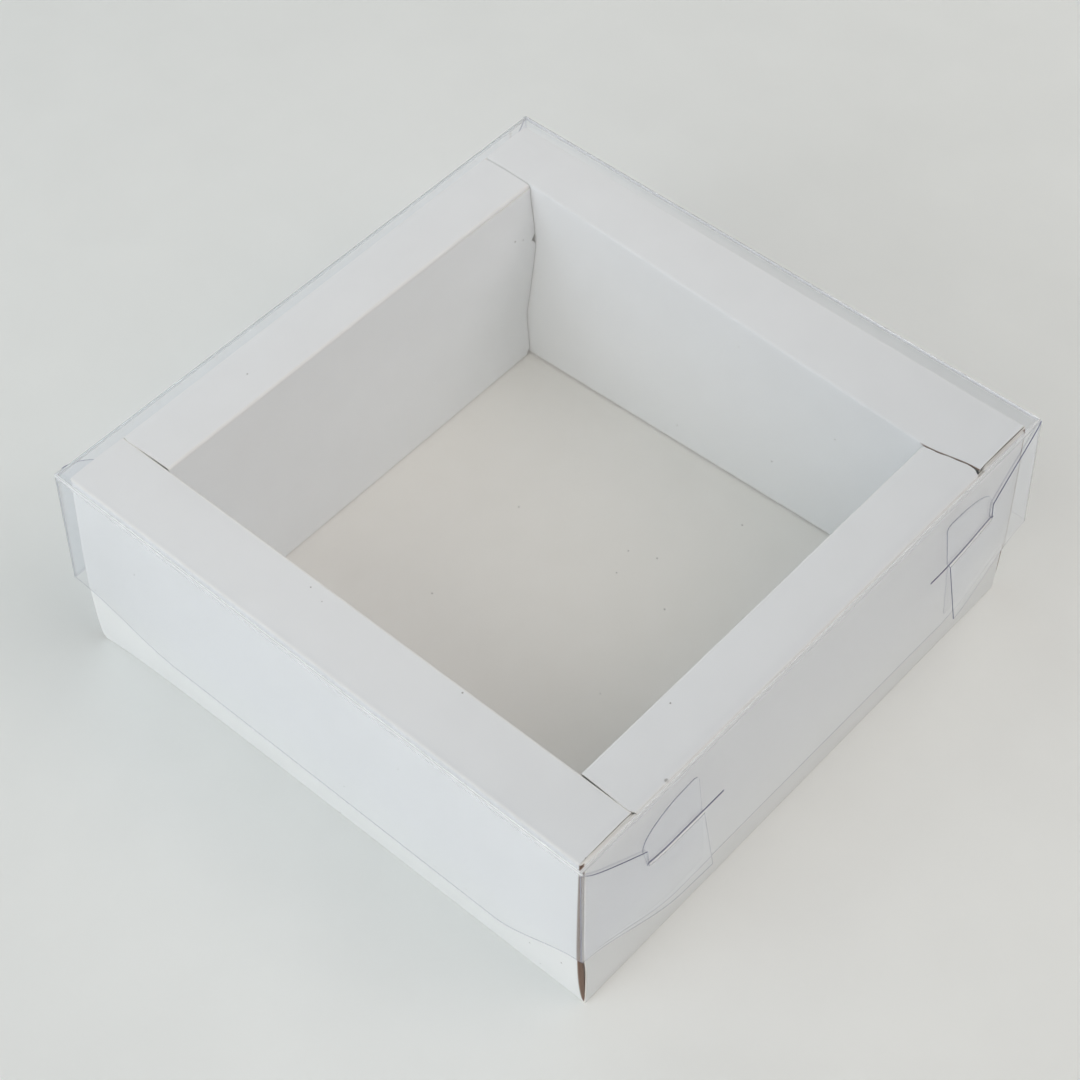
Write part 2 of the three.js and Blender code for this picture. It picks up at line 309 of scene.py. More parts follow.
def folded(corners, runs, radius=CREASE_RADIUS):
    """A folded sheet's profile: straight runs between the corners, each corner rounded by an arc
    that is tangent to both runs. runs gives the number of steps in each straight run. Returns the
    profile's points and a weight that is 1 on the arcs."""
    corners = np.array(corners, float)
    steps = np.diff(corners, axis=0)
    ways = steps / np.linalg.norm(steps, axis=1, keepdims=True)
    pieces, weights = [], []
    start = corners[0]
    for number, count in enumerate(runs):
        end = corners[number + 1]
        if number + 1 < len(runs):
            turn = np.arccos(np.clip(ways[number] @ ways[number + 1], -1, 1))
            end = end - ways[number] * radius * np.tan(turn / 2)
        share = np.linspace(0, 1, count + 1)[:, None]
        pieces.append(start + (end - start) * share)
        weights.append(np.zeros(count + 1))
        if number + 1 < len(runs):
            angle = np.linspace(0, turn, CREASE_STEPS + 1)[1:-1, None]
            side = ways[number + 1] - ways[number] * (ways[number] @ ways[number + 1])
            side = side / np.linalg.norm(side)
            arc = end + radius * (np.sin(angle) * ways[number] + (1 - np.cos(angle)) * side)
            pieces.append(arc)
            weights.append(np.ones(CREASE_STEPS - 1))
            start = corners[number + 1] + ways[number + 1] * radius * np.tan(turn / 2)
    return np.concatenate(pieces), np.concatenate(weights)


def smooth(share):
    """0 below 0, 1 above 1, and the cubic that is level at both ends between them."""
    share = np.clip(share, 0, 1)
    return share * share * (3 - 2 * share)


def turned(points, quarter_turns):
    """Points turned about Z by quarter turns: each takes (x, y) to (-y, x)."""
    for _ in range(quarter_turns % 4):
        points = np.stack([-points[..., 1], points[..., 0], points[..., 2]], axis=-1)
    return points


def stand_out(x, z, shape):
    """How far an outer wall stands out from its flat place. Its foot's offset runs from one end
    to the other, with a short flare at the left, and fades fast with height. Above it the wall
    bellies out, most at a third of its height, and more towards its left end."""
    foot = shape["foot_middle"] + shape["foot_slope"] * x / TRAY_HALF
    foot = foot + shape["foot_flare"] * np.exp(-(x + TRAY_HALF) / FLARE_RUN)
    belly = shape["belly"] + shape["left_belly"] * np.clip(-x / TRAY_HALF, 0, 1) ** 2
    share = np.clip(z / WALL_HEIGHT, 0, 1)
    return foot * (1 - share) ** FOOT_FADE + belly * np.sin(np.pi * share ** BELLY_RISE)


# Distances are in mm, and a slope or a lean is in mm per 100 mm of the wall's length.
SLOPE_LENGTH = 100
END_WALLS = {
    "front_left": {
        "turns": 0, "foot_middle": -0.9, "foot_slope": -0.8, "foot_flare": 1.5,
        "belly": 1.3, "left_belly": 1.5, "crease_in": 0.0, "crease_slope": 0.0,
        "foot_in": 0.4, "foot_lean": 0.0, "end_lift": 0.0, "left_end": 99.8, "right_end": 98.9,
        "right_taper": 0.25, "tuck": 0.0,
    },
    "back_right": {
        "turns": 2, "foot_middle": -1.5, "foot_slope": 0.0, "foot_flare": 0.0,
        "belly": 0.9, "left_belly": 0.3, "crease_in": 1.0, "crease_slope": -3.65,
        "foot_in": -1.0, "foot_lean": 3.1, "end_lift": 0.5, "left_end": 98.8, "right_end": 99.8,
        "right_taper": 0.0, "tuck": 1.6,
    },
}
CREASE_LEFT, CREASE_RIGHT = -80, 82
EASE_RUN = 18
EASE_SHARE = 0.7


def crease_in(x, shape):
    """How far the rim's inner crease lies inside its square place: a slanting line over the
    cavity, held level past the side walls' creases at the right and eased back at the left."""
    reach = np.clip(x, CREASE_LEFT, CREASE_RIGHT)
    line = shape["crease_in"] + shape["crease_slope"] * reach / SLOPE_LENGTH
    return line * (1 - EASE_SHARE * smooth((CREASE_LEFT - x) / EASE_RUN))


RIM_CROWN = 0.25
TOP_RISE = 2
LIFT_RUN = 9
TUCK_PLACE, TUCK_RUN, TUCK_RISE = 80.6, 1.2, 0.9
# The dark brown painted shade on the back right wall's crease, at its seam near the right corner: its
# place, run, top and rise.
SEAM_SHADE_PLACE, SEAM_SHADE_RUN, SEAM_SHADE_TOP, SEAM_SHADE_RISE = 80.2, 0.6, 0.1, 0.15


def is_tucked(shape):
    """Whether an end wall's inner panel springs back behind the side wall at its left end."""
    return shape["tuck"] > 0


def end_wall_middle(shape):
    """Lip, outer panel, rim and inner panel along one profile in the Y-Z plane, carried along X
    and narrowed from the outer panel to the rim. The outer panel stands out, the rim crowns as a
    sine half wave across its width, and the inner panel leans between its crease and its foot.
    A tucked inner panel springs back past the side wall at the left, where its crease alone is
    given a dark brown painted shade for the seam's shadow: there the weight is 1 on that stretch of
    the crease and 0 elsewhere."""
    profile, weight = folded(
        [(OUTER_Y + FLOOR_LIP, BOARD / 2), (OUTER_Y, BOARD / 2), (OUTER_Y, RIM_Z), (END_INNER_Y, RIM_Z),
         (END_INNER_Y, INNER_FOOT)], [2, 26, 8, 24])
    line = np.linspace(-1, 1, 121)[None, :]
    y = np.repeat(profile[:, :1], line.size, axis=1)
    z = np.repeat(profile[:, 1:], line.size, axis=1)
    over = np.clip((y - OUTER_Y) / (END_INNER_Y - OUTER_Y), 0, 1)
    top = smooth((z - RIM_Z + TOP_RISE) / TOP_RISE)
    panel_end = np.where(over > 0.5, INNER_END, wall_high[0] - CORNER_STRIP)
    rim_end = np.where(line < 0, shape["left_end"], shape["right_end"] - shape["right_taper"] * over)
    half = panel_end + (rim_end - panel_end) * smooth((z - RIM_Z + CREASE_RADIUS) / CREASE_RADIUS)
    x = line * half
    lip = np.clip((OUTER_Y + FLOOR_LIP - y) / FLOOR_LIP, 0, 1)
    out = stand_out(x, z, shape) * lip * (over < 0.5)
    foot = shape["foot_in"] + shape["foot_lean"] * x / SLOPE_LENGTH
    crease = crease_in(x, shape)
    lean = crease + (foot - crease) * np.clip(1 - z / RIM_Z, 0, 1) * (over > 0.5)
    below = RIM_Z - CREASE_RADIUS - z
    hidden = smooth((-x - TUCK_PLACE) / TUCK_RUN) * smooth(below / TUCK_RISE) * (over > 0.5)
    lean = lean - shape["tuck"] * hidden
    crown = RIM_CROWN * np.sin(np.pi * over) * top
    lift = shape["end_lift"] * np.exp(-(x + TRAY_HALF) / LIFT_RUN) * top
    below = RIM_Z - SEAM_SHADE_TOP - z
    seam_shade = smooth((-x - SEAM_SHADE_PLACE) / SEAM_SHADE_RUN) * smooth(below / SEAM_SHADE_RISE) * (over > 0.5)
    weight = weight[:, None] * (seam_shade if is_tucked(shape) else 1.0)
    return np.stack([x, y - out + lean * over, z + crown + lift], axis=2), weight


for side, shape in END_WALLS.items():
    middle, weight = end_wall_middle(shape)
    mesh = sheet_mesh("folded_end_wall_" + side, turned(middle[::-1], shape["turns"]), BOARD,
                      crease=weight[::-1])
    # The tucked wall's board carries a dark brown painted shade on its seam's crease.
    board = board_with_painted_crease_shade if is_tucked(shape) else outside_board
    dress(mesh, [board, cut_edge], "tray",
          ["tray_outer_wall_" + side, "tray_rim_" + side, "tray_inner_wall_" + side])


# Corner flaps: each end wall's board turns both corners and tucks in behind the side walls, which
# leaves a narrow open strip of it beside each corner, where a dark brown painted shade lies on it.
# They follow the end wall's own belly, and two of them stand flush with the rims as far as the end
# of the long rim.
flap_high = span("tray_flap_near")[1]
FLAP_REACH = -flap_high[1]
FLAP_TAPER = 8
TAPER_START = 0.55
FLAP_FACE = flap_high[0] - 0.28
FLAP_LEAN = 0.3
FLUSH_TOP, SUNK_TOP = 0.15, -0.35
FLUSH_RUN = 20.2
FLUSH_STEP = 1.2
STEP_RUN = 0.8
BELLY_FADE = 2.5
# Run and start of the dark brown painted shade behind each corner, in the open strip.
STRIP_SHADE_RUN = 1.5
STRIP_SHADE_START = 0.1


def corner_flap_middle(shape, end, flush):
    """From the end wall's last column round the corner and back along the side wall. The profile
    lies in the X-Y plane, and each of its columns runs from the flap's foot to its top, both of
    which slant in towards the free end. A flush top steps down past the long rim's width. The first
    few millimetres behind the corner carry a dark brown painted shade, for the shadow in the open strip."""
    wall_x = wall_high[0] - CORNER_STRIP
    corners = [(wall_x, OUTER_Y), (FLAP_FACE, OUTER_Y), (FLAP_FACE - FLAP_LEAN, -FLAP_REACH)]
    profile = folded(corners, [1, 40])[0]
    behind = profile[:, 1] - OUTER_Y
    weight = (1 - smooth((behind - STRIP_SHADE_RUN) / STRIP_SHADE_RUN)) * smooth(behind / STRIP_SHADE_START)
    share = np.linspace(0, 1, 40)[:, None]
    x = np.repeat(profile[None, :, 0], share.size, axis=0)
    y = np.repeat(profile[None, :, 1], share.size, axis=0)
    run = np.clip((y - OUTER_Y) / (-FLAP_REACH - OUTER_Y), 0, 1)
    slant = FLAP_TAPER * np.clip((run - TAPER_START) / (1 - TAPER_START), 0, 1)
    foot = BOARD + slant
    ledge = FLUSH_TOP - FLUSH_STEP * smooth((y - OUTER_Y - FLUSH_RUN) / STEP_RUN)
    top = RIM_Z + (ledge if flush else SUNK_TOP) - slant
    z = foot + (top - foot) * share
    out = stand_out(end * x, z, shape) * (1 - smooth(run * BELLY_FADE))
    return np.stack([end * x, y - out, z], axis=2), weight


for corner, side, end in (("left", "front_left", -1), ("near", "front_left", 1),
                          ("right", "back_right", -1), ("back", "back_right", 1)):
    middle, weight = corner_flap_middle(END_WALLS[side], end, corner in ("near", "right"))
    middle = middle[::end]
    mesh = sheet_mesh("corner_flap_" + corner, turned(middle, END_WALLS[side]["turns"])[::-1], BOARD,
                      crease=weight[None, :])
    dress(mesh, [board_with_painted_crease_shade, cut_edge], "tray", ["tray_flap_" + corner])


# Side walls: front right and back left. The outer panel folds up from the floor and has a bare cut
# top edge near both corners, beside the ends of the long rims. Between them its rim folds in. The
# front right one covers the near corner's belly, so its near end reaches a little past the corner.
SIDE_END = span("tray_outer_wall_front_right")[1][1]
side_rim_low, side_rim_high = span("tray_rim_front_right")
SIDE_RIM_END = side_rim_high[1]
SIDE_INNER_Y = -side_rim_low[0] - BOARD / 2
RIM_TURN = 0.9
STEP_X = SIDE_RIM_END + 0.3
RIM_ROOT = RIM_Z - 0.9
SEAM_GAP = 0.5
WAVY_CUT, WAVY_LENGTH = 0.12, 0.9
NOTCH_SIZE = 1.1
SIDE_CROWN = 0.2
WING_EDGE = 0.02
WING_RISE = 20
WALL_OVERHANG = 0.6
OVERHANG_FOOT, OVERHANG_RISE = 18, 14
SIDE_WALLS = {
    "front_right": {
        "turns": 1, "overhangs": True, "foot_middle": -0.4, "foot_slope": 0.0, "foot_flare": 0.0,
        "belly": 0.35, "left_belly": 0.0, "left_rim_end": (78.1, 78.9), "right_rim_end": None,
        "left_notch": 1.0, "right_notch": 1.5, "left_wall_end": (78.15, 77.6),
        "right_wall_end": (73.8, 76.6), "foot_in": 0.2, "wave": 0.0, "wing_drop": 0.0,
    },
    "back_left": {
        "turns": 3, "overhangs": False, "foot_middle": -0.6, "foot_slope": 0.0, "foot_flare": 0.0,
        "belly": 0.1, "left_belly": 0.0, "left_rim_end": (80.1, 80.1), "right_rim_end": (78.15, 78.9),
        "left_notch": 0.3, "right_notch": 0.5, "left_wall_end": (80.1, 76.75),
        "right_wall_end": (78.0, 78.0), "foot_in": 1.6, "wave": 1.0, "wing_drop": 0.55,
    },
}


def side_panel_middle(shape):
    """Lip and outer panel. Each column's top is the rim's root in the middle and the tray's full
    height past the step near each corner, where two columns stand almost in one place. At the near
    corner the last columns move out by a fixed overhang and by what the end wall's belly stands
    out there, which starts above the foot."""
    inside = np.linspace(-STEP_X, STEP_X, 101)
    wing = np.linspace(STEP_X + WING_EDGE, SIDE_END, 13)
    x = np.concatenate([-wing[::-1], inside, wing])[None, :]
    top = np.where(np.abs(x) > STEP_X + WING_EDGE / 2, WALL_HEIGHT - shape["wing_drop"], RIM_ROOT)
    profile, weight = folded([(OUTER_Y + FLOOR_LIP, BOARD / 2), (OUTER_Y, BOARD / 2), (OUTER_Y, RIM_ROOT)],
                             [2, 26])
    y = np.repeat(profile[:, :1], x.size, axis=1)
    z = profile[:, 1:] * np.ones_like(x)
    z = z + (top - RIM_ROOT) * smooth((z - RIM_ROOT + WING_RISE) / WING_RISE)
    x = np.repeat(x, len(profile), axis=0)
    if shape["overhangs"]:
        belly = np.maximum(stand_out(TRAY_HALF, z, END_WALLS["front_left"]), 0)
        beside = belly * smooth((z - OVERHANG_FOOT) / OVERHANG_RISE)
        x = x - (WALL_OVERHANG + beside) * smooth((-x - STEP_X) / (SIDE_END - STEP_X))
    lip = np.clip((OUTER_Y + FLOOR_LIP - y) / FLOOR_LIP, 0, 1)
    return np.stack([x, y - stand_out(x, z, shape) * lip, z], axis=2), weight


def side_rim_middle(shape):
    """The rim from its root on the outer panel over both creases. Its ends slant between their
    places at the inner and the outer crease, with a small relief notch cut at the outer crease.
    An end without places is a wavy cut that follows the back right rim's crease at a narrow gap."""
    profile, weight = folded([(OUTER_Y, RIM_ROOT), (OUTER_Y, RIM_Z), (SIDE_INNER_Y, RIM_Z),
                              (SIDE_INNER_Y, RIM_Z - RIM_TURN)], [1, 12, 1])
    share = np.linspace(0, 1, 101)[None, :]
    y = np.repeat(profile[:, :1], share.size, axis=1)
    z = np.repeat(profile[:, 1:], share.size, axis=1)
    over = np.clip((y - OUTER_Y) / (SIDE_INNER_Y - OUTER_Y), 0, 1)
    ends = []
    for end in ("left", "right"):
        notch = shape[end + "_notch"] * np.exp(-((y - OUTER_Y) / NOTCH_SIZE) ** 2)
        if shape[end + "_rim_end"] is None:
            beside = -END_INNER_Y - BOARD / 2 - crease_in(y, END_WALLS["back_right"])
            place = beside - SEAM_GAP + WAVY_CUT * np.sin(y / WAVY_LENGTH)
        else:
            inner_place, outer_place = shape[end + "_rim_end"]
            place = outer_place + (inner_place - outer_place) * over
        ends.append(place - notch)
    x = -ends[0] + (ends[0] + ends[1]) * share
    crown = SIDE_CROWN * np.sin(np.pi * over) * (over > 0)
    return np.stack([x, y, z + crown], axis=2), weight


for side, shape in SIDE_WALLS.items():
    middle, weight = side_panel_middle(shape)
    mesh = sheet_mesh("side_wall_panel_" + side, turned(middle[::-1], shape["turns"]), BOARD,
                      crease=weight[::-1, None])
    dress(mesh, [outside_board, cut_edge], "tray", ["tray_outer_wall_" + side])
    middle, weight = side_rim_middle(shape)
    mesh = sheet_mesh("side_rim_" + side, turned(middle[::-1], shape["turns"]), BOARD,
                      crease=weight[::-1, None])
    dress(mesh, [outside_board, cut_edge], "tray", ["tray_rim_" + side])


# Inner panels of the side walls: they hang from their rims' creases between the end walls, with
# nothing to hold their feet, so each swings on its crease. The back left one has a wave near the
# back corner, which opens a dark gap there.
HANGING_GAP = 0.04
HANGING_FOOT = INNER_FOOT - 0.2
HANGING_BELLY = 0.35
SWELL, SWELL_Z, SWELL_HEIGHT = 2.3, 54, 15
HOLLOW, HOLLOW_Z, HOLLOW_HEIGHT = 1.6, 17, 11
WAVE_REACH = 34
FOOT_CUT, FOOT_CUT_TOP, FOOT_CUT_RISE = 1.6, 3.5, 2.5
DENT, DENT_Z, DENT_HEIGHT, DENT_WIDTH = 1.7, 55.5, 1.3, 1.2


def bump_at(place, middle, size):
    """A bell curve: 1 at its middle, and 1 over e at its size from there."""
    return np.exp(-((place - middle) / size) ** 2)


def hanging_panel_middle(shape):
    """A grid that hangs from the crease. Its ends slant between their places at top and foot, it
    leans in towards its foot, and near its left end it carries a wave in height: a swell at two
    thirds, a hollow near the foot, both fading with distance from that end. Where there is a wave,
    that end has a small dent on the swell and a trimmed corner at the foot."""
    top = RIM_Z - RIM_TURN - HANGING_GAP
    share = np.linspace(0, 1, 61)[:, None]
    z = top + (HANGING_FOOT - top) * share
    (left_top, left_foot), (right_top, right_foot) = shape["left_wall_end"], shape["right_wall_end"]
    left = left_top + (left_foot - left_top) * share
    left = left - FOOT_CUT * shape["wave"] * smooth((FOOT_CUT_TOP - z) / FOOT_CUT_RISE)
    right_end = right_top + (right_foot - right_top) * share
    x = -left + (left + right_end) * np.linspace(0, 1, 91)[None, :]
    z = np.repeat(z, x.shape[1], axis=1)
    swell = SWELL * bump_at(z, SWELL_Z, SWELL_HEIGHT) - HOLLOW * bump_at(z, HOLLOW_Z, HOLLOW_HEIGHT)
    wave = shape["wave"] * swell * bump_at(x, -SIDE_RIM_END, WAVE_REACH)
    dent = DENT * shape["wave"] * bump_at(z, DENT_Z, DENT_HEIGHT) * bump_at(x, -left, DENT_WIDTH)
    lean = shape["foot_in"] * (1 - z / top) + HANGING_BELLY * np.sin(np.pi * share)
    return np.stack([x + dent, SIDE_INNER_Y + lean + wave, z], axis=2)


for side, shape in SIDE_WALLS.items():
    middle = turned(hanging_panel_middle(shape), shape["turns"])
    mesh = sheet_mesh("hanging_inner_wall_" + side, middle[:, ::-1], BOARD)
    dress(mesh, [outside_board, cut_edge], "inner_wall_" + side, ["tray_inner_wall_" + side])


# Lid top: the middle panel of the lid, a clear PET sheet of 0.3 mm, die cut and creased. Its four
# edges roll over into the skirts. The loose lid sits pushed to the back, a little out of square,
# and is lifted at its right corner by the springy rim below it.
top_low, top_high = span("lid_top")
skirt_low = span("lid_skirt_front_left")[0]
SHEET = top_high[2] - top_low[2]
LID_X, LID_Y = (top_low[:2] + top_high[:2]) / 2
LID_Z = top_high[2] - SHEET / 2
END_SKIRT = (top_high[1] - top_low[1]) / 2 - SHEET / 2
SIDE_SKIRT = (top_high[0] - top_low[0]) / 2 - SHEET / 2
LAYER = END_SKIRT - SIDE_SKIRT
SKIRT_DEPTH = top_low[2] - skirt_low[2]
FOLD_RADIUS = 0.45
MILKINESS = 0.5
JOINT_HAZE = 1.7
HAZE_DEPTH = 0.7
CORNER_SHIFTS = {
    (1, -1): ((-0.2, 0.1, 0.0), (0.0, 0.0, 0.0)),
    (1, 1): ((0.4, 0.6, 1.0), (0.8, 1.0, 0.0)),
    (-1, 1): ((0.6, -0.4, 0.1), (0.0, 0.3, 0.0)),
    (-1, -1): ((-0.3, -0.2, 0.4), (-0.2, -2.0, 0.0)),
}


def settled(points):
    """Moves the lid's points from the lid's own square place to where it lies. Each corner has an
    offset at the top and one more at the skirt's foot, and a point takes the share of each that
    its place in plan and its depth give, as a bilinear blend."""
    u = points[..., 0] / END_SKIRT
    v = points[..., 1] / END_SKIRT
    depth = -points[..., 2] / SKIRT_DEPTH
    moved = points + np.array([LID_X, LID_Y, LID_Z])
    for (sign_u, sign_v), (at_top, at_foot) in CORNER_SHIFTS.items():
        share = (1 + sign_u * u) * (1 + sign_v * v) / 4
        moved = moved + share[..., None] * (np.array(at_top) + depth[..., None] * np.array(at_foot))
    return moved


def clear_sheet():
    """Clear extruded PET sheet: glass-smooth with a mirror-like gloss and a trace of blue, and
    milky along its folds, where bending whitens it. Light from lamps and from lit surfaces goes
    straight through it, as it does through a thin flat sheet."""
    material, tree, output = new_material("clear PET sheet")
    place = add_node(tree, "TexCoord").outputs["Object"]
    wave_size = 25
    wave = add_node(tree, "TexNoise", {"Vector": place, "Scale": 1 / (wave_size * MM), "Detail": 1.0})
    bump = add_node(tree, "Bump", {"Height": wave.outputs["Fac"], "Strength": 0.2, "Distance": 0.3 * MM})
    glass = add_node(tree, "BsdfPrincipled", {
        "Base Color": linear("#FCFDFF"), "Roughness": 0.03, "IOR": 1.57, "Transmission Weight": 1.0,
        "Normal": bump.outputs["Normal"]})
    crease = add_node(tree, "Attribute", attribute_name="crease").outputs["Fac"]
    milky = add_node(tree, "BsdfPrincipled", {"Base Color": linear("#E9EBEE"), "Roughness": 0.6,
                                              "IOR": 1.57})
    share = add_node(tree, "Math", {0: crease, 1: MILKINESS}, operation="MULTIPLY")
    glass = add_node(tree, "MixShader", {0: share.outputs[0], 1: glass.outputs[0], 2: milky.outputs[0]})
    passing = add_node(tree, "BsdfTransparent", {"Color": linear("#FEFEFF")})
    ray = add_node(tree, "LightPath")
    soft = add_node(tree, "Math", {0: ray.outputs["Is Shadow Ray"], 1: ray.outputs["Is Diffuse Ray"]},
                    operation="MAXIMUM")
    mix = add_node(tree, "MixShader", {0: soft.outputs[0], 1: glass.outputs[0], 2: passing.outputs[0]})
    tree.links.new(mix.outputs[0], output.inputs["Surface"])
    return material


def sheet_edge():
    """Sheared edge of the PET sheet: finely ribbed, in a dark blue-violet that is painted shade,
    so that it shows as a thin dark line."""
    material, tree, output = new_material("sheared PET edge")
    place = add_node(tree, "TexCoord").outputs["Object"]
    rib_size = 0.4
    rib = add_node(tree, "TexNoise", {"Vector": place, "Scale": 1 / (rib_size * MM), "Detail": 1.0})
    # The edge's dark blue-violet is painted shade.
    colour = add_node(tree, "Mix", {0: rib.outputs["Fac"], 6: linear("#4E5178"), 7: linear("#7F82A4")},
                      data_type="RGBA")
    shader = add_node(tree, "BsdfPrincipled", {
        "Base Color": colour.outputs[2], "Roughness": 0.35, "IOR": 1.57, "Transmission Weight": 0.25})
    tree.links.new(shader.outputs[0], output.inputs["Surface"])
    return material


pet_sheet = clear_sheet()
pet_edge = sheet_edge()


def lid_top_middle():
    """A flat panel whose four borders roll down through a quarter circle: along each direction
    the place follows the panel and then the arc, and the two drops add up as the legs of a right
    triangle. The milky weight starts with the roll and grows at its end, at the joint."""
    angle = np.linspace(0, np.pi / 2, 6)[1:]
    flat = np.linspace(-1, 1, 61)
    places = []
    for reach in (END_SKIRT, SIDE_SKIRT):
        straight = flat * (reach - FOLD_RADIUS)
        bent = reach - FOLD_RADIUS + FOLD_RADIUS * np.sin(angle)
        drop = FOLD_RADIUS * (1 - np.cos(angle))
        places.append((np.concatenate([-bent[::-1], straight, bent]),
                       np.concatenate([drop[::-1], np.zeros(flat.size), drop])))
    (y, y_drop), (x, x_drop) = places
    grid_x, grid_y = np.meshgrid(x, -y)
    fall = np.sqrt(x_drop[None, :] ** 2 + y_drop[:, None] ** 2)
    share = fall / FOLD_RADIUS
    weight = smooth(share * 8) + (JOINT_HAZE - 1) * smooth(share * 3 - 2)
    return settled(np.stack([grid_x, grid_y, -fall], axis=2)), weight


middle, weight = lid_top_middle()
dress(sheet_mesh("clear_lid_top", middle, SHEET, crease=weight), [pet_sheet, pet_sheet], "lid",
      ["lid_top"])


# End skirts with their lock flaps: the front left and back right skirts fold down from the lid's
# top, and at both ends turn the corner outside the side skirts as lock flaps. Skirts hang free
# and stand out along their middles, and the flaps spring open below the slots that hold them.
LOCK_FLAP = 46.9
SLOT_DEPTH = 24.5
SHOULDER_ALONG = 24.2
SHOULDER_DEPTH = 18.2
FLAP_CURVE = {"near": 0.62, "right": 0.8, "back": 0.62, "left": 2.0}
FLAP_LIFT = 1.4
FOLD_FOOT = FOLD_RADIUS + 0.005
TAB_ROOT = 0.5
KNEE_DROP = 0.15
HAIR = 0.01
TOLERANCE = 0.001
LOCK_SLIP = {"near": 0.6, "right": -1.6, "back": 0.0, "left": 0.0}
SKIRT_BOWS = {
    "front_left": {"turns": 0, "bow": 4.2, "slope": 0.9, "left_run": 50, "right_run": 28},
    "front_right": {"turns": 1, "bow": 5.0, "slope": 0.0, "left_run": 34, "right_run": 52},
    "back_right": {"turns": 2, "bow": 4.6, "slope": 0.0, "left_run": 45, "right_run": 38},
    "back_left": {"turns": 3, "bow": 5.0, "slope": 0.0, "left_run": 38, "right_run": 45},
}


def skirt_bow(side, x, depth):
    """How far a skirt stands out at a place along it: in proportion to its depth below the top,
    with a smooth rise from nothing at each corner over that corner's run, and a little more
    towards one end than the other."""
    shape = SKIRT_BOWS[side]
    rise = smooth((END_SKIRT + x) / shape["left_run"]) * smooth((END_SKIRT - x) / shape["right_run"])
    return (shape["bow"] + shape["slope"] * x / END_SKIRT) * rise * depth / SKIRT_DEPTH


def flap_lift(along, depth):
    """How far a lock flap stands off the skirt behind it: only below the slot, and in proportion
    to the depth below it and the distance from the corner."""
    below = np.clip((depth - SLOT_DEPTH) / (SKIRT_DEPTH - SLOT_DEPTH), 0, 1)
    return FLAP_LIFT * np.clip(along / LOCK_FLAP, 0, 1) * below


def flap_top(along, slip, curve):
    """Depth of a lock flap's upper edge: it drops fast beside the corner and then slants down to
    the shoulder as a power of the distance. Past the notch it is where the lock tab begins."""
    shoulder = SHOULDER_ALONG + slip
    slant = SHOULDER_DEPTH * np.clip(along / shoulder, 0, 1) ** curve
    return np.where(along < shoulder + HAIR, np.maximum(slant, FOLD_FOOT), SLOT_DEPTH + TAB_ROOT + HAIR)


def flap_columns(slip):
    """Places of a lock flap's columns, from its end to the corner, two of them on its notch."""
    shoulder = SHOULDER_ALONG + slip
    leaf = np.linspace(LOCK_FLAP + slip, shoulder + 2 * HAIR, 12)
    return np.concatenate([leaf, np.linspace(shoulder, 0, 25)[:-1]])


def fold_haze(depth):
    """Milky weight of a skirt: strong on its joint with the lid's top and gone just below it."""
    return JOINT_HAZE * (1 - smooth((depth - FOLD_FOOT) / HAZE_DEPTH))


def end_skirt_middle(side, left_side, right_side, corners):
    """Flap, corner, skirt, corner and flap along one path in plan, each column running from its
    cut or folded top down to the foot, with all its rows level from a knee below the slot on. A
    column is moved out along the path's normal by the bow of the side that it lies on, and on a
    flap by its lift too."""
    slips = [LOCK_SLIP[corner] for corner in corners]
    curves = [FLAP_CURVE[corner] for corner in corners]
    flaps = [flap_columns(slip) for slip in slips]
    skirt = np.linspace(-1, 1, 121) * (END_SKIRT - FOLD_RADIUS)
    angle = np.linspace(0, np.pi / 2, 7)[1:-1]
    bend = END_SKIRT - FOLD_RADIUS
    ends = [np.stack([-np.full(flap.size, END_SKIRT), flap - END_SKIRT]) for flap in flaps]
    turn = np.stack([-bend - FOLD_RADIUS * np.cos(angle), -bend - FOLD_RADIUS * np.sin(angle)])
    middle = np.stack([skirt, -np.full(skirt.size, END_SKIRT)])
    mirror = np.array([[-1], [1]])
    path = np.concatenate([ends[0], turn, middle, (turn * mirror)[:, ::-1], (ends[1] * mirror)[:, ::-1]],
                          axis=1)
    side_way = np.concatenate([-np.ones(flaps[0].size), -np.cos(angle), np.zeros(skirt.size),
                               np.cos(angle)[::-1], np.ones(flaps[1].size)])
    front_way = -np.sqrt(1 - side_way ** 2)
    along = np.maximum(END_SKIRT + path[1], 0)
    is_flap = np.abs(path[0]) > END_SKIRT - TOLERANCE
    slip = np.where(path[0] < 0, *slips)
    curve = np.where(path[0] < 0, *curves)
    top = np.where(is_flap, flap_top(along, slip, curve), FOLD_FOOT)
    joined = (top < FOLD_FOOT + TOLERANCE) | (top > SLOT_DEPTH)
    above = np.linspace(0, 1, 17)[:-1, None]
    below = np.linspace(0, 1, 18)[:, None]
    knee = SLOT_DEPTH + TAB_ROOT + KNEE_DROP
    foot = SKIRT_DEPTH + SHEET / 2
    depth = np.concatenate([top + (knee - top) * above, knee + (foot - knee) * below + 0 * top])
    x, y = path[0][None, :], path[1][None, :]
    out = np.where(x < 0, skirt_bow(left_side, -y, depth), skirt_bow(right_side, y, depth))
    out = np.where(is_flap[None, :], out + flap_lift(along[None, :], depth), skirt_bow(side, x, depth))
    points = np.stack([x + out * side_way, y + out * front_way, -depth], axis=2)
    return points, joined[:-1] & joined[1:], fold_haze(depth)


for side, left_side, right_side, corners in (
    ("front_left", "back_left", "front_right", ("left", "near")),
    ("back_right", "front_right", "back_left", ("right", "back")),
):
    middle, joined, haze = end_skirt_middle(side, left_side, right_side, corners)
    middle = settled(turned(middle, SKIRT_BOWS[side]["turns"]))
    mesh = sheet_mesh("clear_end_skirt_" + side, middle, SHEET, crease=haze, joined=joined)
    dress(mesh, [pet_sheet, pet_edge], "lid",
          ["lid_skirt_" + side, "lid_flap_" + corners[0], "lid_flap_" + corners[1]])


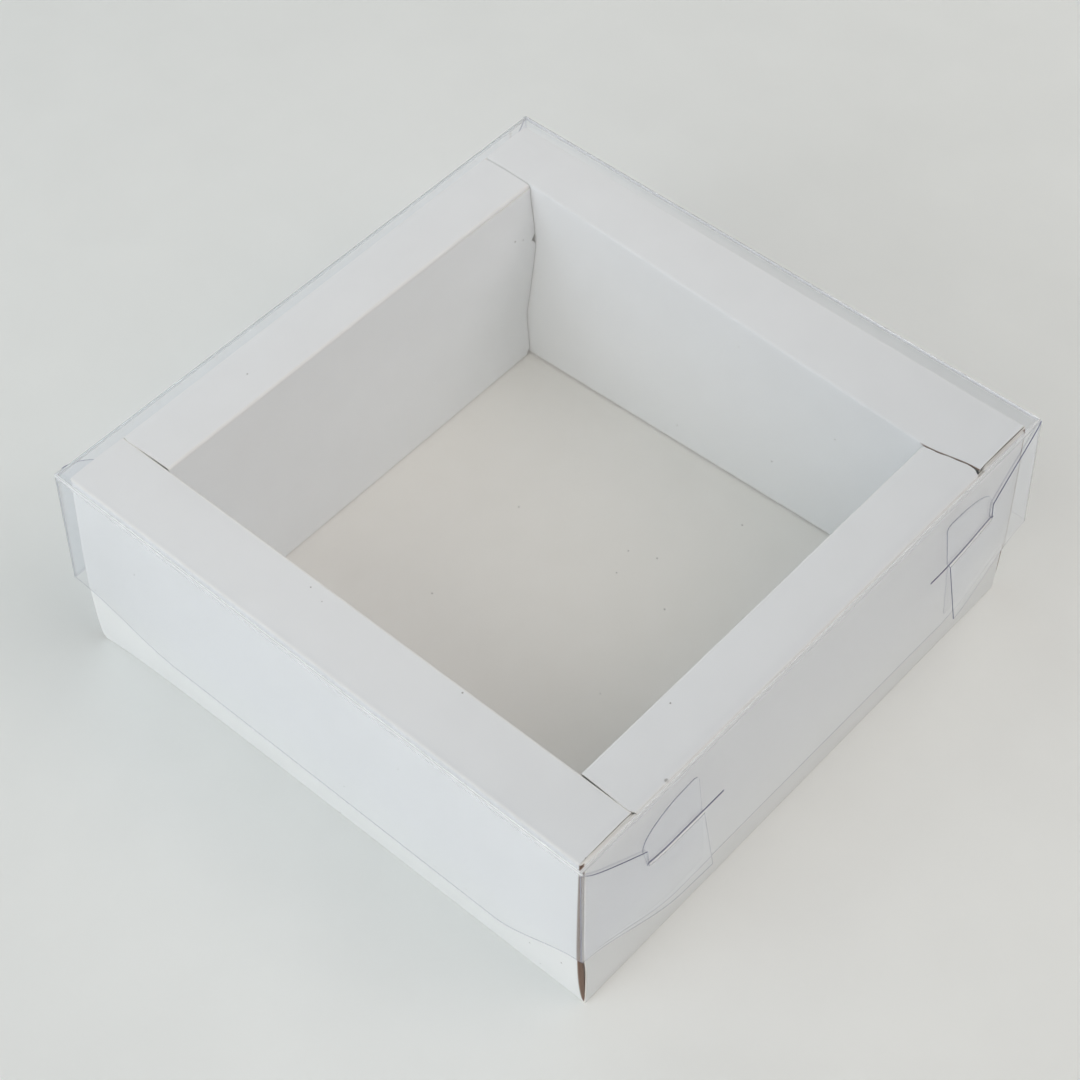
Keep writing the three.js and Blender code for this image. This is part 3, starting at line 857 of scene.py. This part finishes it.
# Side skirts: the front right and back left skirts, one layer inside the lock flaps. Near each end
# a slit takes the lock tab.
SLIT_START = 23.8
SLIT_END = 55.9
SLIT_HALF = 0.3


def stepped(marks, counts):
    """A line of places through all the marks, with an even number of steps between each two."""
    runs = [np.linspace(a, b, n + 1)[:-1] for a, b, n in zip(marks, marks[1:], counts)]
    return np.append(np.concatenate(runs), marks[-1])


def side_skirt_middle(side, left_slip, right_slip):
    """A grid from the fold down to the foot with grid lines on the slits' edges, stood out by the
    skirt's bow. The cells inside the two slits are left out, and the joint at the top is milky."""
    reach = END_SKIRT - LAYER / 2
    marks = [-reach, *(-END_SKIRT + np.array([SLIT_START, SLIT_END]) + left_slip),
             *(END_SKIRT - np.array([SLIT_END, SLIT_START]) - right_slip), reach]
    counts = [20, 24, 70, 24, 20]
    x = stepped(marks, counts)
    levels = [FOLD_FOOT, SLOT_DEPTH - SLIT_HALF, SLOT_DEPTH + SLIT_HALF, SKIRT_DEPTH + SHEET / 2]
    rows = [16, 1, 16]
    x, depth = np.meshgrid(x, stepped(levels, rows))
    kept = np.ones((sum(rows), sum(counts)), bool)
    kept[rows[0], counts[0]:counts[0] + counts[1]] = False
    kept[rows[0], -counts[4] - counts[3]:-counts[4]] = False
    y = -SIDE_SKIRT - skirt_bow(side, x, depth)
    return np.stack([x, y, -depth], axis=2), kept, fold_haze(depth)


for side, left_corner, right_corner in (("front_right", "near", "right"), ("back_left", "back", "left")):
    middle, kept, haze = side_skirt_middle(side, LOCK_SLIP[left_corner], LOCK_SLIP[right_corner])
    middle = settled(turned(middle, SKIRT_BOWS[side]["turns"]))
    mesh = sheet_mesh("clear_side_skirt_" + side, middle, SHEET, kept, haze, joined=True)
    dress(mesh, [pet_sheet, pet_edge], "lid", ["lid_skirt_" + side])


# Lock tabs: the leaf beyond the notch of each lock flap. It goes in through the slit and stands
# up behind the side skirt, where its wide shoulder keeps it from slipping out.
TAB_TOP = 8.6
TAB_BEND = 0.32
TAB_HAZE = 1.7
TAB_INSET, TAB_OUTSET = 0.5, 0.2
TAB_SHOULDER, SHOULDER_LEAN = 0.35, 0.9
TAB_CURVE, CURVE_POWER = 20.5, 2.2
TAB_CORNER, CORNER_SIZE = 0.88, 1.8


def rounded_off(rise, start, power):
    """From 0 at the start to 1 at the top along a superellipse of the given power: slow at first
    and steep at the end."""
    share = np.clip((rise - start) / (1 - start), 0, 1)
    return 1 - np.sqrt(np.clip(1 - share ** power, 0, 1))


def tab_edges(depth):
    """Where a tab's two side edges lie, measured from the corner. Above the slit the inner edge
    leans out to a shoulder and then runs in a long curve to the top; the outer edge is straight
    with a rounded upper corner."""
    rise = np.clip((SLOT_DEPTH - depth) / (SLOT_DEPTH - TAB_TOP), 0, 1)
    lean = -SHOULDER_LEAN * smooth(rise / TAB_SHOULDER)
    curve = TAB_CURVE * rounded_off(rise, TAB_SHOULDER, CURVE_POWER)
    inner = SLIT_START + TAB_INSET + lean + curve
    return inner, LOCK_FLAP + TAB_OUTSET - CORNER_SIZE * rounded_off(rise, TAB_CORNER, 2)


def lock_tab_middle(side, end, slip):
    """An S-shaped profile in depth and layer, from the flap's layer through the slit to the inner
    layer, carried along the skirt between the tab's two edges and stood out by the skirt's bow. The
    weight is 1 on its two bends, which are milky."""
    corners = [(0, SLOT_DEPTH + TAB_ROOT), (0, SLOT_DEPTH), (2 * LAYER, SLOT_DEPTH), (2 * LAYER, TAB_TOP)]
    profile, weight = folded(corners, [1, 2, 30], TAB_BEND)
    layer, depth = profile[:, :1], profile[:, 1:]
    inner, outer = tab_edges(depth)
    share = np.linspace(0, 1, 25)[None, :]
    along = inner + (outer - inner) * share + slip
    x = end * (END_SKIRT - along)
    y = -END_SKIRT + layer - skirt_bow(side, x, depth)
    points = np.stack([x, y, np.repeat(-depth, share.size, axis=1)], axis=2)
    return points[:, ::end], weight[:, None]


for corner, side, end in (("near", "front_right", -1), ("right", "front_right", 1),
                          ("back", "back_left", -1), ("left", "back_left", 1)):
    middle, weight = lock_tab_middle(side, end, LOCK_SLIP[corner])
    middle = settled(turned(middle, SKIRT_BOWS[side]["turns"]))
    mesh = sheet_mesh("lock_tab_" + corner, middle, SHEET, crease=TAB_HAZE * weight, joined=True)
    dress(mesh, [pet_sheet, pet_edge], "tab_" + corner, ["lid_tab_" + corner])


# Table: a plain pale matt surface that the box stands on, finely mottled like primed paper.
TABLE_HALF = 8000
table_mesh = bpy.data.meshes.new("table")
corner = TABLE_HALF * MM
table_mesh.from_pydata([(-corner, -corner, 0), (corner, -corner, 0), (corner, corner, 0),
                        (-corner, corner, 0)], [], [(0, 1, 2, 3)])
table = bpy.data.objects.new("table", table_mesh)
bpy.context.scene.collection.objects.link(table)


def table_paper():
    """Matt off-white painted board: faint clouds a few centimetres across and a fine tooth."""
    material, tree, output = new_material("primed backing board")
    place = add_node(tree, "TexCoord").outputs["Object"]
    cloud_size, tooth_size = 35, 0.8
    cloud = add_node(tree, "TexNoise", {"Vector": place, "Scale": 1 / (cloud_size * MM), "Detail": 4.0})
    tooth = add_node(tree, "TexNoise", {"Vector": place, "Scale": 1 / (tooth_size * MM), "Detail": 2.0})
    colour = add_node(tree, "Mix", {0: cloud.outputs["Fac"], 6: linear("#EDEFEF"), 7: linear("#F3F5F5")},
                      data_type="RGBA")
    bump = add_node(tree, "Bump", {"Height": tooth.outputs["Fac"], "Strength": 0.3, "Distance": 0.05 * MM})
    shader = add_node(tree, "BsdfPrincipled", {
        "Base Color": colour.outputs[2], "Roughness": 0.8, "Normal": bump.outputs["Normal"]})
    tree.links.new(shader.outputs[0], output.inputs["Surface"])
    return material


table_mesh.materials.append(table_paper())


# Light: large softboxes in a dim studio, three of them low, beside the front left, back right and
# back left walls, and the others higher and mostly warmer. Each has its azimuth, elevation, power
# in watts and linear colour. The room is even but for a faint warm patch, a sheen in the lid's top.
SOFTBOXES = {
    "front_low": (0, 15, 10.4, (0.95, 0.955, 1.0)),
    "front_left_high": (-22.5, 40, 8.3, (0.9, 0.985, 1.0)),
    "front_high": (22.5, 40, 4.2, (1.0, 0.93, 0.75)),
    "right": (112.5, 40, 7.1, (1.0, 0.95, 0.94)),
    "back_high": (135, 65, 5.3, (1.0, 0.93, 0.83)),
    "back_low": (180, 15, 10.9, (1.0, 0.995, 0.94)),
    "back_left_low": (-90, 15, 9.3, (0.84, 0.95, 1.0)),
}
SOFTBOX_DISTANCE = 1.8
SOFTBOX_SIZE = 1.4
ROOM_RADIANCE = 0.1
GLOW_AZIMUTH, GLOW_ELEVATION, GLOW_REACH = 231, 45, 17
GLOW_RADIANCE = 0.84
GLOW_COLOUR = "#FFF9F2"


def glow(tree, azimuth, elevation, reach):
    """A round patch of the room round one direction, as a share from 1 in its middle to 0 at its
    reach in degrees: the smooth step of the cosine of the angle from that direction."""
    middle = direction(*np.radians([azimuth, elevation]))
    place = add_node(tree, "TexCoord").outputs["Generated"]
    cosine = add_node(tree, "VectorMath", {0: place, 1: middle}, operation="DOT_PRODUCT")
    share = add_node(tree, "MapRange", {
        "Value": cosine.outputs["Value"], "From Min": np.cos(np.radians(reach)), "From Max": 1.0},
        interpolation_type="SMOOTHSTEP")
    return share.outputs["Result"]


world = bpy.data.worlds.new("studio")
world.use_nodes = True
world.node_tree.nodes.clear()
patch = glow(world.node_tree, GLOW_AZIMUTH, GLOW_ELEVATION, GLOW_REACH)
even = add_node(world.node_tree, "Background", {"Color": linear("#FFFFFF"), "Strength": ROOM_RADIANCE})
extra = add_node(world.node_tree, "Math", {0: patch, 1: GLOW_RADIANCE}, operation="MULTIPLY")
warm = add_node(world.node_tree, "Background", {"Color": linear(GLOW_COLOUR), "Strength": extra.outputs[0]})
both = add_node(world.node_tree, "AddShader", {0: even.outputs[0], 1: warm.outputs[0]})
add_node(world.node_tree, "OutputWorld", {"Surface": both.outputs[0]})
bpy.context.scene.world = world


def lamp_matrix(azimuth, elevation, distance):
    """Places a lamp on a sphere round the box, with its back to the outside and its right level,
    as a camera stands that looks at the box."""
    turn, rise = np.radians([azimuth, elevation])
    back = direction(turn, rise)
    level = np.array([np.cos(turn), np.sin(turn), 0])
    made = np.identity(4)
    made[:3, 0], made[:3, 1], made[:3, 2] = level, np.cross(back, level), back
    made[:3, 3] = back * distance
    return Matrix(made.tolist())


for name, (azimuth, elevation, power, colour) in SOFTBOXES.items():
    light = bpy.data.lights.new(name, "AREA")
    light.shape = "SQUARE"
    light.size = SOFTBOX_SIZE
    light.energy = power
    light.color = colour
    piece = bpy.data.objects.new(name, light)
    piece.matrix_world = lamp_matrix(azimuth, elevation, SOFTBOX_DISTANCE)
    bpy.context.scene.collection.objects.link(piece)
